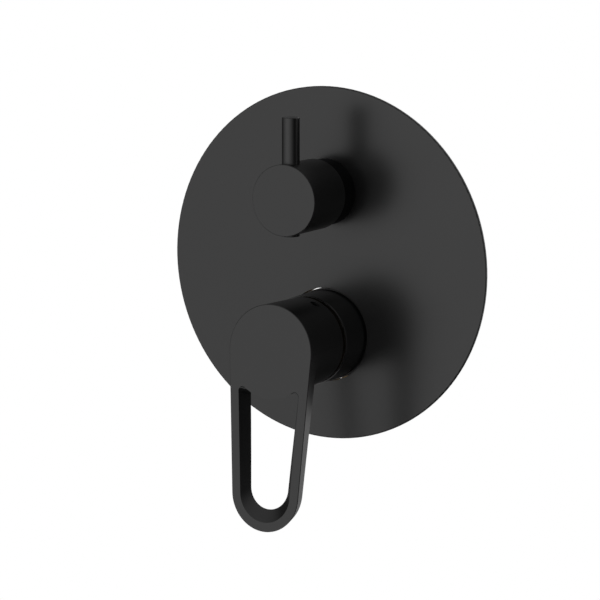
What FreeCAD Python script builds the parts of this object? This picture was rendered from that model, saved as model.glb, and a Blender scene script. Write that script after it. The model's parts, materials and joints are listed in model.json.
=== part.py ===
import FreeCAD, Part
import math
import os

# Concealed bath mixer with a loop lever below and a diverter knob above, on one round cover plate.
# Millimetres. X is right, Z is up, and the room is on the -Y side of the finished wall at Y = 0.
# "out" is a distance from the finished wall into the room; inside the wall it is negative.

# Clearances used in several places, and how far a cutting shape runs past the face it cuts
running_gap = 0.05
fit_gap = 0.1
part_gap = 0.3
clear_gap = 0.35
cut_spare = 1.0
ring_flat = 0.45

# Cover plate and its foam ring
plate_radius = 90.0
plate_thickness = 1.5
plate_edge_round = 0.6
foam_thickness = 1.0
foam_outer_radius = 86.5
foam_width = 8.0
mixer_z = -36.2
diverter_z = 36.9
sleeve_gap_in_plate = 0.9
boss_gap_in_plate = 0.4
neck_wall = 1.2
neck_back_out = -5.0

# Handle: a hub with a finger loop hanging from it, cast in one piece
hub_face_out = 58.0
hub_face_radius = 23.3
hub_rim_out = 23.9
hub_rim_radius = 22.2
hub_bore_radius = 20.6
hub_bore_front_out = 48.0
hub_rim_break = 0.3
face_lean = 4.26
loop_end_z = -106.84
loop_end_radius = 18.96
loop_end_rise = 0.31
loop_leg_width = 4.8
loop_leg_inset = 0.03
loop_back_out_at_hub = 51.2
loop_back_lean = 6.08
opening_hub_bevel = 0.46
opening_leg_bevel = 0.77
opening_end_bevel = 1.36
opening_corner_radius = 2.3
loop_edge_break = 0.3
face_layer = 3.0
handle_blank_spare = 8.0
handle_cutter_size = 400.0

# Sleeve round the hub's back
sleeve_front_out = 21.3
sleeve_front_radius = 22.7
sleeve_radius = 23.1
sleeve_foot_gap = 0.55
sleeve_bore_radius = 21.9
sleeve_back_out = -6.5
sleeve_lip_break = 0.2
sleeve_ring_out = -4.6
sleeve_ring_section = 0.9

# Mixing cartridge, from the pivot outwards
pivot_out = 28.5
lift_angle = 25.0
turn_angle = 50.0
tip_arm = 10.0
housing_radius = 17.5
housing_neck_radius = 15.6
housing_bore_radius = 14.0
disc_bore_radius = 15.5
housing_lip_radius = 12.0
housing_front_out = 34.0
housing_lip_thickness = 3.0
housing_shoulder_out = 12.5
housing_back_out = -4.0
base_thickness = 5.2
base_seal_thickness = 1.6
base_seal_stand = 0.8
disc_seal_thickness = 0.8
fixed_disc_thickness = 4.2
moving_disc_thickness = 4.0
moving_disc_radius = 11.0
moving_disc_chamber = 5.6
carrier_plate_thickness = 4.0
carrier_block = 12.0
carrier_block_height = 12.0
inlet_port_reach = 8.4
inlet_port_drop = 40.0
inlet_port_radius = 2.1
mixed_port_radius = 3.0
seal_wall = 1.4
stem_square = 9.0
stem_side_gap = 0.15
stem_back_gap = 2.0
stem_tail_radius = 1.8
stem_tip_radius = 2.5
socket_lip = 1.5
socket_floor_gap = 1.0
pivot_pin_radius = 1.5
pivot_pin_inset = 2.0
stop_key_width = 3.0

# Ring nut that holds the mixing cartridge
nut_front_out = 14.0
nut_back_out = -2.2
nut_radius = 21.3
nut_notch_width = 4.0
nut_notch_depth = 3.0
nut_notch_count = 6

# Insert between stem and hub, with its screws
insert_skirt_radius = 18.8
insert_back_out = 26.9
insert_wall = 3.5
insert_boss_radius = 8.0
insert_boss_back_out = 39.6
insert_web = 0.8
insert_web_out = 45.2
insert_screw_radius = 2.0
insert_screw_head_radius = 4.0
insert_screw_length = 10.0
insert_screw_head_height = 1.7
insert_screw_key = 2.5
insert_screw_key_depth = 1.2
hub_screw_out = 29.4
hub_screw_angle = 24.0
hub_screw_radius = 2.4
hub_screw_length = 3.0
hub_screw_key = 2.5
hub_screw_key_depth = 1.8

# Valve body
thread_boss_radius = 20.0
thread_boss_front_out = 12.2
seal_boss_radius = 21.7
cavity_radius = 17.6
cavity_bottom_out = -10.0
body_radius = 23.0
port_plane_out = -40.0
body_back_out = -50.0
body_taper_length = 16.0
body_back_flat = 16.5
diverter_taper_length = 14.0
arm_radius = 12.5
arm_end_radius = 13.3
arm_end_length = 16.0
inlet_half_span = 46.0
top_outlet_z = 66.0
bath_outlet_z = -84.0
inlet_bore_radius = 7.0
outlet_bore_radius = 4.2
pipe_thread_radius = 9.3
pipe_thread_depth = 14.0
inlet_bore_end_x = 6.2
inlet_drill_end_out = -37.0
mixed_duct_out = -15.5
mixed_duct_radius = 4.5
mixed_duct_wall = 3.7
mixed_duct_foot = 2.4
riser_radius = 10.0
web_half_width = 4.0
lug_half_span = 29.0
upper_lug_z = 0.0
lower_lug_z = -58.0
lug_radius = 7.0
lug_thickness = 6.0
lug_back_out = -54.0
lug_hole_radius = 2.75

# Diverter boss of the valve body, and the diverter itself
diverter_boss_radius = 15.0
diverter_boss_front_out = 9.0
diverter_boss_back_out = -3.0
diverter_block_radius = 17.5
diverter_bore_radius = 12.0
diverter_seat_out = -30.0
diverter_channel_radius = 14.0
diverter_channel_front_out = -12.0
diverter_channel_back_out = -22.0
diverter_port_up = 5.5
diverter_port_radius = 3.2
diverter_turn_angle = 90.0
diverter_gate_wall = 0.5
divider_half = 2.0
diverter_shell_front_out = 4.0
diverter_shell_back_out = -28.0
diverter_shell_bore = 6.0
diverter_shell_wall = 1.3
diverter_shell_shoulder_out = -13.5
diverter_shell_ring_out = -6.2
diverter_shell_ring_section = 0.75
diverter_nut_front_out = 8.5
diverter_nut_slot = 2.5
diverter_nut_slot_depth = 1.5
window_width = 5.0
window_height = 3.0
window_drop = 1.0
window_count = 4
spindle_foot_thickness = 3.7
spindle_ring_out = -3.0
spindle_ring_section = 0.65
spindle_ring_gap = 0.03
diverter_disc_thickness = 4.0
diverter_seat_disc_thickness = 4.95
spindle_end_radius = 4.0
spindle_step_out = 8.9
spindle_end_out = 31.5
spindle_flat = 3.0
turner_gap = 0.2
dog_width = 4.0
dog_height = 1.5

# Collar, knob and pin lever of the diverter
collar_radius = 16.8
collar_front_out = 13.7
collar_face_thickness = 3.2
collar_hole_radius = 6.6
knob_radius = 17.74
knob_front_out = 45.0
knob_back_out = 14.2
knob_edge_break = 0.25
knob_recess_radius = 8.0
knob_recess_depth = 2.0
knob_bore_end_gap = 1.0
pin_radius = 4.4
pin_out = 37.6
pin_top_z = 77.3
pin_poke = 0.7
pin_edge_break = 0.3
knob_screw_out = 24.0
knob_screw_radius = 2.0
knob_screw_length = 6.0
knob_screw_key = 2.0
knob_screw_key_depth = 2.0

plate_back_out = foam_thickness
plate_front_out = plate_back_out + plate_thickness
sleeve_hole_radius = sleeve_radius + sleeve_gap_in_plate
base_back_out = housing_back_out - base_thickness
fixed_disc_back_out = housing_back_out + disc_seal_thickness
fixed_disc_front_out = fixed_disc_back_out + fixed_disc_thickness
moving_disc_back_out = fixed_disc_front_out + running_gap
moving_disc_front_out = moving_disc_back_out + moving_disc_thickness
carrier_plate_front_out = moving_disc_front_out + carrier_plate_thickness
rotor_back_out = carrier_plate_front_out + clear_gap
tip_out = pivot_out - tip_arm
slide_travel = tip_arm * math.sin(math.radians(lift_angle))
hub_taper = (hub_face_radius - hub_rim_radius) / (hub_face_out - hub_rim_out)
stem_half = stem_square / 2.0
turn_stop_span = turn_angle + math.degrees(math.asin(stop_key_width / 2.0 / housing_lip_radius))


def point(x, out, z):
    return FreeCAD.Vector(x, -out, z)


def turned(profile, z):
    # A solid of revolution about the line x = 0 at height z, from (out, radius) corners.
    corners = [point(radius, out, 0) for out, radius in profile]
    outline = Part.makePolygon(corners + [corners[0]])
    solid = Part.Face(outline).revolve(FreeCAD.Vector(0, 0, 0), FreeCAD.Vector(0, 1, 0), 360)
    solid.translate(FreeCAD.Vector(0, 0, z))
    return solid


def tube(out_a, out_b, outer, inner, z):
    return turned([(out_a, inner), (out_a, outer), (out_b, outer), (out_b, inner)], z)


def rod(front_out, back_out, radius, x, z):
    return Part.makeCylinder(radius, front_out - back_out, point(x, front_out, z),
                             FreeCAD.Vector(0, 1, 0))


def upright(radius, low_z, high_z, x, out):
    return Part.makeCylinder(radius, high_z - low_z, point(x, out, low_z), FreeCAD.Vector(0, 0, 1))


def block(low_x, high_x, back_out, front_out, low_z, high_z):
    return Part.makeBox(high_x - low_x, front_out - back_out, high_z - low_z,
                        point(low_x, front_out, low_z))


def sealing_ring(outer_radius, section, out, z):
    # A rubber ring as it lies squeezed in its groove, flat where it touches.
    flat = ring_flat * section
    centre = outer_radius - section
    corners = [(-section, -flat), (-section, flat), (-flat, section), (flat, section),
               (section, flat), (section, -flat), (flat, -section), (-flat, -section)]
    return turned([(out + along, centre + across) for along, across in corners], z)


def hex_key_hole(width, depth, mouth, direction):
    # Six-sided key socket, its mouth at "mouth" and running along "direction".
    reach = width / 2.0 / math.cos(math.radians(30))
    corners = []
    for step in range(6):
        turn = math.radians(60 * step)
        corners.append(FreeCAD.Vector(reach * math.cos(turn), reach * math.sin(turn), 0))
    prism = Part.Face(Part.makePolygon(corners + [corners[0]])).extrude(FreeCAD.Vector(0, 0, depth))
    prism.Placement = FreeCAD.Placement(mouth, FreeCAD.Rotation(FreeCAD.Vector(0, 0, 1), direction))
    return prism


def make_cover_plate():
    edge = plate_edge_round
    slope = edge * (1 - math.sqrt(0.5))
    centre = FreeCAD.Vector(0, 0, 0)
    back_rim = point(plate_radius, plate_back_out, 0)
    side_end = point(plate_radius, plate_front_out - edge, 0)
    arc_middle = point(plate_radius - slope, plate_front_out - slope, 0)
    face_end = point(plate_radius - edge, plate_front_out, 0)
    edges = [Part.makeLine(point(0, plate_back_out, 0), back_rim),
             Part.makeLine(back_rim, side_end),
             Part.Arc(side_end, arc_middle, face_end).toShape(),
             Part.makeLine(face_end, point(0, plate_front_out, 0)),
             Part.makeLine(point(0, plate_front_out, 0), point(0, plate_back_out, 0))]
    plate = Part.Face(Part.Wire(edges)).revolve(centre, FreeCAD.Vector(0, 1, 0), 360)
    plate = plate.fuse(rod(plate_front_out - edge, neck_back_out, sleeve_hole_radius + neck_wall, 0,
                           mixer_z))
    sleeve_hole = rod(plate_front_out + cut_spare, neck_back_out - cut_spare, sleeve_hole_radius, 0,
                      mixer_z)
    boss_hole = rod(plate_front_out + cut_spare, plate_back_out - cut_spare,
                    diverter_boss_radius + boss_gap_in_plate, 0, diverter_z)
    return plate.cut([sleeve_hole, boss_hole]).removeSplitter()


def make_plate_foam():
    return tube(0, foam_thickness, foam_outer_radius, foam_outer_radius - foam_width, 0)


def make_sleeve():
    # Behind the plate its foot is a little wider and centres it in the plate's neck.
    lip = sleeve_lip_break
    foot_radius = sleeve_hole_radius - sleeve_foot_gap
    return turned([(sleeve_back_out, sleeve_bore_radius), (sleeve_back_out, foot_radius),
                   (plate_back_out, foot_radius), (plate_back_out, sleeve_radius),
                   (plate_front_out, sleeve_radius), (sleeve_front_out - lip, sleeve_front_radius),
                   (sleeve_front_out, sleeve_front_radius - lip),
                   (sleeve_front_out, sleeve_bore_radius + lip),
                   (sleeve_front_out - lip, sleeve_bore_radius)], mixer_z)


def make_sleeve_ring():
    return sealing_ring(sleeve_bore_radius, sleeve_ring_section, sleeve_ring_out, mixer_z)


# Handle. The face is one plane that leans out at its lower end, across hub and loop alike.

def on_face(x, up, depth):
    # A point placed by the leaning face: "up" along it from the hub's axis, "depth" behind it.
    lean = math.radians(face_lean)
    out = hub_face_out - up * math.sin(lean) - depth * math.cos(lean)
    return point(x, out, mixer_z + up * math.cos(lean) - depth * math.sin(lean))


def outer_edge(depth, hub_grow, end_grow):
    # The hub's circle and the loop's rounded end on a plane "depth" behind the face, joined by
    # their outer tangents. The rounded end rises towards the back.
    lean = math.radians(face_lean)
    hub_up = depth * math.tan(lean)
    end_up = hub_up - (mixer_z - loop_end_z) / math.cos(lean) + loop_end_rise * depth
    hub = hub_face_radius + hub_grow
    end = loop_end_radius + end_grow
    taper = math.asin((hub - end) / (hub_up - end_up))
    side = math.cos(taper)
    drop = math.sin(taper)
    crown = on_face(0, hub_up + hub, depth)
    hub_right = on_face(hub * side, hub_up - hub * drop, depth)
    hub_left = on_face(-hub * side, hub_up - hub * drop, depth)
    end_right = on_face(end * side, end_up - end * drop, depth)
    end_left = on_face(-end * side, end_up - end * drop, depth)
    lowest = on_face(0, end_up - end, depth)
    legs_and_end = [Part.makeLine(hub_right, end_right),
                    Part.Arc(end_right, lowest, end_left).toShape(),
                    Part.makeLine(end_left, hub_left)]
    return legs_and_end, Part.Arc(hub_left, crown, hub_right).toShape(), hub_left, hub_right


def loop_outline(depth):
    # The legs stand a hair inside the hub's side, so that they run into it.
    shrink = hub_taper * depth
    legs_and_end, over_hub, hub_left, hub_right = outer_edge(depth, -loop_leg_inset - shrink, -shrink)
    return Part.Wire(legs_and_end + [Part.makeLine(hub_left, hub_right)])


def face_outline(depth, grow):
    legs_and_end, over_hub, hub_left, hub_right = outer_edge(depth, grow, grow)
    return Part.Wire(legs_and_end + [over_hub])


def opening_outline(depth):
    # Edge of the finger opening at one depth behind the face. It narrows towards the back, a
    # little at the hub, more beside the rounded end and most below it.
    lean = math.radians(face_lean)
    hub_up = depth * math.tan(lean)
    hub_radius = (hub_face_radius - hub_taper * depth) / math.cos(lean)
    inner = hub_face_radius - loop_leg_width - opening_hub_bevel * depth
    end_radius = loop_end_radius - loop_leg_width - opening_leg_bevel * depth
    end_up = hub_up - (mixer_z - loop_end_z) / math.cos(lean)
    end_up += (opening_end_bevel - opening_leg_bevel) * depth
    taper = math.asin((inner - end_radius) / (hub_up - end_up))
    side = math.cos(taper)
    drop = math.sin(taper)
    corner_across = inner - opening_corner_radius
    corner_along = math.sqrt((hub_radius + opening_corner_radius) ** 2 - corner_across ** 2)
    corner_x = corner_across * side - corner_along * drop
    corner_up = hub_up - corner_across * drop - corner_along * side
    share = hub_radius / (hub_radius + opening_corner_radius)
    hub_x = corner_x * share
    hub_touch_up = hub_up + (corner_up - hub_up) * share
    leg_x = corner_x + opening_corner_radius * side
    leg_up = corner_up - opening_corner_radius * drop
    middle = FreeCAD.Vector(hub_x - corner_x + leg_x - corner_x,
                            hub_touch_up - corner_up + leg_up - corner_up, 0)
    middle.normalize()
    mid_x = corner_x + opening_corner_radius * middle.x
    mid_up = corner_up + opening_corner_radius * middle.y
    end_x = end_radius * side
    end_touch_up = end_up - end_radius * drop

    def arc(first, second, third):
        return Part.Arc(on_face(first[0], first[1], depth), on_face(second[0], second[1], depth),
                        on_face(third[0], third[1], depth)).toShape()

    def line(first, second):
        return Part.makeLine(on_face(first[0], first[1], depth),
                             on_face(second[0], second[1], depth))

    return Part.Wire([arc((hub_x, hub_touch_up), (mid_x, mid_up), (leg_x, leg_up)),
                      line((leg_x, leg_up), (end_x, end_touch_up)),
                      arc((end_x, end_touch_up), (0, end_up - end_radius), (-end_x, end_touch_up)),
                      line((-end_x, end_touch_up), (-leg_x, leg_up)),
                      arc((-leg_x, leg_up), (-mid_x, mid_up), (-hub_x, hub_touch_up)),
                      arc((-hub_x, hub_touch_up), (0, hub_up - hub_radius), (hub_x, hub_touch_up))])


def slab_behind(out_at_hub, lean_angle, size):
    # Everything on the wall side of a plane that leans out at its lower end.
    slab = Part.makeBox(size, size, size, FreeCAD.Vector(-size / 2.0, 0, -size / 2.0))
    slab.rotate(FreeCAD.Vector(0, 0, 0), FreeCAD.Vector(1, 0, 0), -lean_angle)
    slab.translate(point(0, out_at_hub, mixer_z))
    return slab


def hub_screw_line():
    angle = math.radians(hub_screw_angle)
    return FreeCAD.Vector(math.sin(angle), 0, math.cos(angle))


def hub_screw_hole(radius):
    start = point(0, hub_screw_out, mixer_z) + hub_screw_line() * (insert_skirt_radius - cut_spare)
    length = hub_face_radius - insert_skirt_radius + 2 * cut_spare
    return Part.makeCylinder(radius, length, start, hub_screw_line())


def make_handle():
    wide = handle_cutter_size
    front = hub_face_out + handle_blank_spare
    front_radius = hub_face_radius + hub_taper * handle_blank_spare
    hub = turned([(hub_rim_out, 0), (hub_rim_out, hub_rim_radius - hub_rim_break),
                  (hub_rim_out + hub_rim_break, hub_rim_radius), (front, front_radius),
                  (front, 0)], mixer_z)
    through = hub_face_out - loop_back_out_at_hub + face_layer
    loop = Part.makeLoft([loop_outline(-face_layer), loop_outline(through)], True, True)
    behind_back = slab_behind(loop_back_out_at_hub, loop_back_lean, wide)
    loop = loop.cut(behind_back)
    opening = Part.makeLoft([opening_outline(-cut_spare), opening_outline(through)], True, True)
    body = hub.fuse(loop).common(slab_behind(hub_face_out, face_lean, wide))
    layer_back = hub_face_out - face_layer / math.cos(math.radians(face_lean))
    layer = slab_behind(front, face_lean, wide).cut(slab_behind(layer_back, face_lean, wide))
    body = body.cut(layer.cut(inside_edge_break())).cut(opening).removeSplitter()
    bore = rod(hub_bore_front_out, hub_rim_out - cut_spare, hub_bore_radius, 0, mixer_z)
    return body.cut(bore).cut(hub_screw_hole(hub_screw_radius + fit_gap))


def inside_edge_break():
    # A flared solid whose sides cut a small chamfer round the outside of the leaning face.
    return Part.makeLoft([face_outline(-cut_spare, -loop_edge_break - cut_spare),
                          face_outline(face_layer, face_layer - loop_edge_break)], True, True)


def make_handle_insert():
    cup = turned([(insert_back_out, insert_skirt_radius), (insert_back_out, hub_bore_radius),
                  (hub_bore_front_out, hub_bore_radius), (hub_bore_front_out, 0),
                  (insert_boss_back_out, 0), (insert_boss_back_out, insert_boss_radius),
                  (hub_bore_front_out - insert_wall, insert_boss_radius),
                  (hub_bore_front_out - insert_wall, insert_skirt_radius)], mixer_z)
    half = stem_half + running_gap
    socket = block(-half, half, insert_boss_back_out - cut_spare, insert_web_out, mixer_z - half,
                   mixer_z + half)
    screw_hole = rod(hub_bore_front_out, insert_web_out - cut_spare,
                     insert_screw_radius + running_gap, 0, mixer_z)
    head_recess = rod(hub_bore_front_out, insert_web_out + insert_web,
                      insert_screw_head_radius + clear_gap, 0, mixer_z)
    return cup.cut(socket).cut(screw_hole).cut(head_recess).cut(hub_screw_hole(hub_screw_radius))


def make_insert_screw():
    seat = insert_web_out + insert_web
    head = rod(seat + insert_screw_head_height, seat, insert_screw_head_radius, 0, mixer_z)
    shank = rod(seat, seat - insert_screw_length, insert_screw_radius, 0, mixer_z)
    key = hex_key_hole(insert_screw_key, insert_screw_key_depth,
                       point(0, seat + insert_screw_head_height, mixer_z), FreeCAD.Vector(0, 1, 0))
    return head.fuse(shank).removeSplitter().cut(key)


def make_hub_screw():
    start = point(0, hub_screw_out, mixer_z) + hub_screw_line() * (insert_skirt_radius + fit_gap)
    screw = Part.makeCylinder(hub_screw_radius, hub_screw_length, start, hub_screw_line())
    mouth = start + hub_screw_line() * hub_screw_length
    return screw.cut(hex_key_hole(hub_screw_key, hub_screw_key_depth, mouth, hub_screw_line() * -1))


# Mixing cartridge

def stop_sector(inner, outer, front_out, back_out, half_angle):
    ring = tube(back_out, front_out, outer, inner, 0)
    reach = 3 * outer
    angle = math.radians(half_angle)
    corners = [point(0, front_out, 0),
               point(reach * math.sin(angle), front_out, reach * math.cos(angle)),
               point(0, front_out, 2 * reach),
               point(-reach * math.sin(angle), front_out, reach * math.cos(angle))]
    wedge = Part.Face(Part.makePolygon(corners + [corners[0]]))
    wedge = wedge.extrude(FreeCAD.Vector(0, front_out - back_out, 0))
    sector = ring.common(wedge)
    sector.translate(FreeCAD.Vector(0, 0, mixer_z))
    return sector


def make_cartridge_housing():
    lip_back = housing_front_out - housing_lip_thickness
    shell = turned([(housing_front_out, housing_lip_radius),
                    (housing_front_out, housing_neck_radius),
                    (housing_shoulder_out, housing_neck_radius),
                    (housing_shoulder_out, housing_radius), (housing_back_out, housing_radius),
                    (housing_back_out, disc_bore_radius), (rotor_back_out, disc_bore_radius),
                    (rotor_back_out, housing_bore_radius), (lip_back, housing_bore_radius),
                    (lip_back, housing_lip_radius)], mixer_z)
    stops = stop_sector(housing_lip_radius - cut_spare, housing_bore_radius,
                        housing_front_out + cut_spare,
                        housing_front_out - housing_lip_thickness / 2.0, turn_stop_span)
    return shell.cut(stops)


def make_cartridge_rotor():
    lip_back = housing_front_out - housing_lip_thickness
    outer = housing_bore_radius - running_gap
    nose = housing_lip_radius - running_gap
    rotor = turned([(rotor_back_out, 0), (rotor_back_out, outer), (lip_back - running_gap, outer),
                    (lip_back - running_gap, nose), (housing_front_out, nose),
                    (housing_front_out, 0)], mixer_z)
    key_front = housing_front_out
    key_back = housing_front_out - housing_lip_thickness / 2.0 + running_gap
    key = block(-stop_key_width / 2.0, stop_key_width / 2.0, key_back, key_front,
                mixer_z + nose - cut_spare, mixer_z + housing_bore_radius - clear_gap)
    rotor = rotor.fuse(key).removeSplitter()
    angle = math.radians(lift_angle)
    half = stem_half + stem_side_gap
    high = (housing_front_out - pivot_out) * math.tan(angle) + stem_half / math.cos(angle) + clear_gap
    low = stem_half * (math.cos(angle) + math.sin(angle)) + 2 * clear_gap
    window_back = pivot_out - stem_half - stem_back_gap
    window = block(-half, half, window_back - cut_spare, housing_front_out + cut_spare,
                   mixer_z - low, mixer_z + high)
    pocket_half = carrier_block / 2.0 + running_gap
    pocket = block(-pocket_half, pocket_half, rotor_back_out - cut_spare, window_back,
                   mixer_z - carrier_block_height / 2.0 - slide_travel - clear_gap,
                   mixer_z + carrier_block_height / 2.0 + clear_gap)
    pin_hole = Part.makeCylinder(pivot_pin_radius, 2 * outer, point(-outer, pivot_out, mixer_z),
                                 FreeCAD.Vector(1, 0, 0))
    return rotor.cut(window).cut(pocket).cut(pin_hole)


def make_pivot_pin():
    reach = housing_bore_radius - pivot_pin_inset
    return Part.makeCylinder(pivot_pin_radius, 2 * reach, point(-reach, pivot_out, mixer_z),
                             FreeCAD.Vector(1, 0, 0))


def make_stem():
    back = pivot_out - stem_half
    square = block(-stem_half, stem_half, back, insert_web_out, mixer_z - stem_half,
                   mixer_z + stem_half)
    tail = rod(back + cut_spare, tip_out, stem_tail_radius, 0, mixer_z)
    tip = Part.makeSphere(stem_tip_radius, point(0, tip_out, mixer_z))
    stem = square.fuse(tail).fuse(tip).removeSplitter()
    pin_hole = Part.makeCylinder(pivot_pin_radius + running_gap, 2 * stem_square,
                                 point(-stem_square, pivot_out, mixer_z), FreeCAD.Vector(1, 0, 0))
    screw_hole = rod(insert_web_out + cut_spare,
                     insert_web_out + insert_web - insert_screw_length - cut_spare,
                     insert_screw_radius, 0, mixer_z)
    return stem.cut(pin_hole).cut(screw_hole)


def make_disc_carrier():
    # At rest the carrier is centred on the cartridge's axis; lifting the lever moves it down.
    plate = rod(carrier_plate_front_out, moving_disc_front_out, moving_disc_radius, 0, mixer_z)
    block_front = tip_out + socket_lip
    lift = block(-carrier_block / 2.0, carrier_block / 2.0, moving_disc_front_out + cut_spare,
                 block_front, mixer_z - carrier_block_height / 2.0,
                 mixer_z + carrier_block_height / 2.0)
    socket = rod(block_front + cut_spare, tip_out - stem_tip_radius - socket_floor_gap,
                 stem_tip_radius + fit_gap, 0, mixer_z)
    return plate.fuse(lift).removeSplitter().cut(socket)


def make_moving_disc():
    # The chamber joins the middle port to the inlet ports once the disc has moved down.
    disc = rod(moving_disc_front_out, moving_disc_back_out, moving_disc_radius, 0, mixer_z)
    chamber = rod(moving_disc_back_out + moving_disc_thickness / 2.0,
                  moving_disc_back_out - cut_spare, moving_disc_chamber, 0, mixer_z)
    return disc.cut(chamber)


def inlet_port_place(side):
    angle = math.radians(inlet_port_drop)
    return side * inlet_port_reach * math.cos(angle), -inlet_port_reach * math.sin(angle)


def cartridge_ports():
    # Hot on the left, cold on the right and mixed water in the middle: (x, up, radius).
    return [inlet_port_place(-1) + (inlet_port_radius,), inlet_port_place(1) + (inlet_port_radius,),
            (0.0, 0.0, mixed_port_radius)]


def drill_ports(solid, front_out, back_out):
    for x, up, radius in cartridge_ports():
        solid = solid.cut(rod(front_out + cut_spare, back_out - cut_spare, radius, x, mixer_z + up))
    return solid


def make_fixed_disc():
    disc = rod(fixed_disc_front_out, fixed_disc_back_out, disc_bore_radius - fit_gap, 0, mixer_z)
    return drill_ports(disc, fixed_disc_front_out, fixed_disc_back_out)


def port_rings(front_out, back_out):
    rings = []
    for x, up, radius in cartridge_ports():
        outer = rod(front_out, back_out, radius + seal_wall, x, mixer_z + up)
        inner = rod(front_out + cut_spare, back_out - cut_spare, radius, x, mixer_z + up)
        rings.append(outer.cut(inner))
    return Part.makeCompound(rings)


def make_disc_seals():
    return port_rings(fixed_disc_back_out, housing_back_out)


def make_base_seals():
    return port_rings(base_back_out - base_seal_stand + base_seal_thickness,
                      base_back_out - base_seal_stand)


def make_cartridge_base():
    base = rod(housing_back_out, base_back_out, housing_radius, 0, mixer_z)
    for x, up, radius in cartridge_ports():
        base = base.cut(rod(base_back_out - base_seal_stand + base_seal_thickness,
                            base_back_out - cut_spare, radius + seal_wall, x, mixer_z + up))
    return drill_ports(base, housing_back_out, base_back_out)


def make_cartridge_nut():
    nut = turned([(nut_front_out, housing_neck_radius + clear_gap), (nut_front_out, nut_radius),
                  (nut_back_out, nut_radius), (nut_back_out, thread_boss_radius),
                  (housing_shoulder_out, thread_boss_radius),
                  (housing_shoulder_out, housing_neck_radius + clear_gap)], mixer_z)
    for step in range(nut_notch_count):
        notch = block(-nut_notch_width / 2.0, nut_notch_width / 2.0,
                      nut_front_out - nut_notch_depth, nut_front_out + cut_spare,
                      mixer_z + thread_boss_radius + part_gap, mixer_z + nut_radius + cut_spare)
        notch.rotate(FreeCAD.Vector(0, 0, mixer_z), FreeCAD.Vector(0, 1, 0),
                     360.0 * step / nut_notch_count)
        nut = nut.cut(notch)
    return nut


# Valve body: one casting with two inlets, the cartridge's cavity, the diverter's bore and two outlets

def cross_bar(radius, low_x, high_x):
    return Part.makeCylinder(radius, high_x - low_x, point(low_x, port_plane_out, mixer_z),
                             FreeCAD.Vector(1, 0, 0))


def mounting_wing(z):
    wing = block(-lug_half_span, lug_half_span, lug_back_out, lug_back_out + lug_thickness,
                 z - lug_radius, z + lug_radius)
    for x in (-lug_half_span, lug_half_span):
        wing = wing.fuse(rod(lug_back_out + lug_thickness, lug_back_out, lug_radius, x, z))
    return wing


def body_outside():
    mixer = turned([(thread_boss_front_out, 0), (thread_boss_front_out, thread_boss_radius),
                    (nut_back_out - part_gap, thread_boss_radius),
                    (nut_back_out - part_gap, seal_boss_radius),
                    (sleeve_back_out - part_gap, seal_boss_radius),
                    (sleeve_back_out - part_gap, body_radius),
                    (body_back_out + body_taper_length, body_radius),
                    (body_back_out, body_back_flat), (body_back_out, 0)], mixer_z)
    diverter = turned([(diverter_boss_front_out, 0), (diverter_boss_front_out, diverter_boss_radius),
                       (diverter_boss_back_out, diverter_boss_radius),
                       (diverter_boss_back_out, diverter_block_radius),
                       (body_back_out + diverter_taper_length, diverter_block_radius),
                       (body_back_out, arm_radius), (body_back_out, 0)], diverter_z)
    parts = [diverter,
             cross_bar(arm_radius, -inlet_half_span + cut_spare, inlet_half_span - cut_spare),
             cross_bar(arm_end_radius, -inlet_half_span, -inlet_half_span + arm_end_length),
             cross_bar(arm_end_radius, inlet_half_span - arm_end_length, inlet_half_span),
             upright(arm_radius, diverter_z, top_outlet_z - cut_spare, 0, port_plane_out),
             upright(arm_end_radius, top_outlet_z - arm_end_length, top_outlet_z, 0, port_plane_out),
             upright(arm_radius, bath_outlet_z + cut_spare, mixer_z, 0, port_plane_out),
             upright(arm_end_radius, bath_outlet_z, bath_outlet_z + arm_end_length, 0,
                     port_plane_out),
             upright(riser_radius, mixer_z, diverter_z, 0, port_plane_out),
             upright(mixed_duct_radius + mixed_duct_wall, mixer_z, diverter_z, 0, mixed_duct_out),
             block(-web_half_width, web_half_width, port_plane_out, mixed_duct_out, mixer_z,
                   diverter_z),
             mounting_wing(upper_lug_z),
             mounting_wing(lower_lug_z)]
    return mixer.multiFuse(parts).removeSplitter()


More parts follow.
